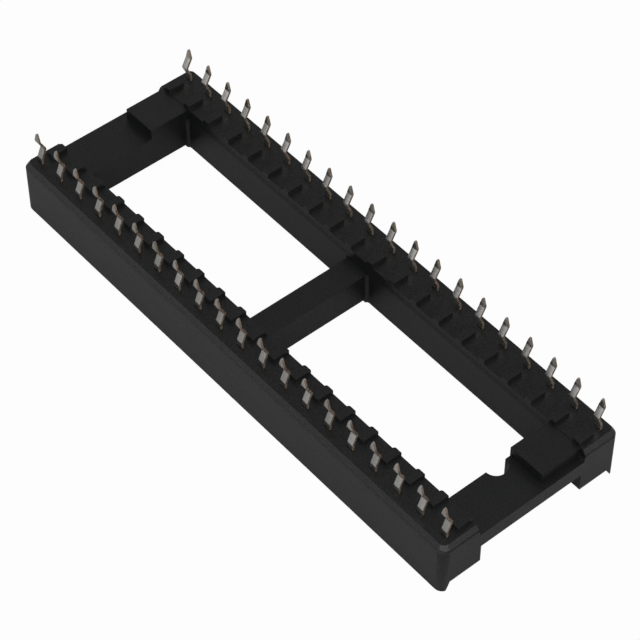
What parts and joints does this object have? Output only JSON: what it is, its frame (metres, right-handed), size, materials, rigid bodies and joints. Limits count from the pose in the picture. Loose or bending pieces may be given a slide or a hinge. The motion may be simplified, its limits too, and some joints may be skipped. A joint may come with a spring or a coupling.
{
  "type": "dip socket",
  "caption": "Solder-mount socket for a wide dual-in-line chip: an open-frame black housing with a half-round notch and two rows of dual-leaf contacts with cranked solder tails.",
  "frame": {"origin": "centre of the footprint, at the level of the guide ribs' tips on which the part lies", "axes": "+X along the socket towards the end with the half-round notch, +Y across towards the rail with the two raised blocks, +Z from the chip face to the board face and the tail tips"},
  "size_m": [0.0506, 0.0174, 0.0082],
  "materials": {
    "housing_plastic": "moulded black glass-filled plastic with a fine satin surface",
    "tinned_contact": "bright tin plating on spring bronze, with bare warm brown cut edges"
  },
  "bodies": {
    "root": {"housing": "housing_plastic", "contact_01": "tinned_contact", "contact_02": "tinned_contact", "contact_03": "tinned_contact", "contact_04": "tinned_contact", "contact_05": "tinned_contact", "contact_06": "tinned_contact", "contact_07": "tinned_contact", "contact_08": "tinned_contact", "contact_09": "tinned_contact", "contact_10": "tinned_contact", "contact_11": "tinned_contact", "contact_12": "tinned_contact", "contact_13": "tinned_contact", "contact_14": "tinned_contact", "contact_15": "tinned_contact", "contact_16": "tinned_contact", "contact_17": "tinned_contact", "contact_18": "tinned_contact", "contact_19": "tinned_contact", "contact_20": "tinned_contact", "contact_21": "tinned_contact", "contact_22": "tinned_contact", "contact_23": "tinned_contact", "contact_24": "tinned_contact", "contact_25": "tinned_contact", "contact_26": "tinned_contact", "contact_27": "tinned_contact", "contact_28": "tinned_contact", "contact_29": "tinned_contact", "contact_30": "tinned_contact", "contact_31": "tinned_contact", "contact_32": "tinned_contact", "contact_33": "tinned_contact", "contact_34": "tinned_contact", "contact_35": "tinned_contact", "contact_36": "tinned_contact", "contact_37": "tinned_contact", "contact_38": "tinned_contact", "contact_39": "tinned_contact", "contact_40": "tinned_contact"}
  },
  "joints": []
}
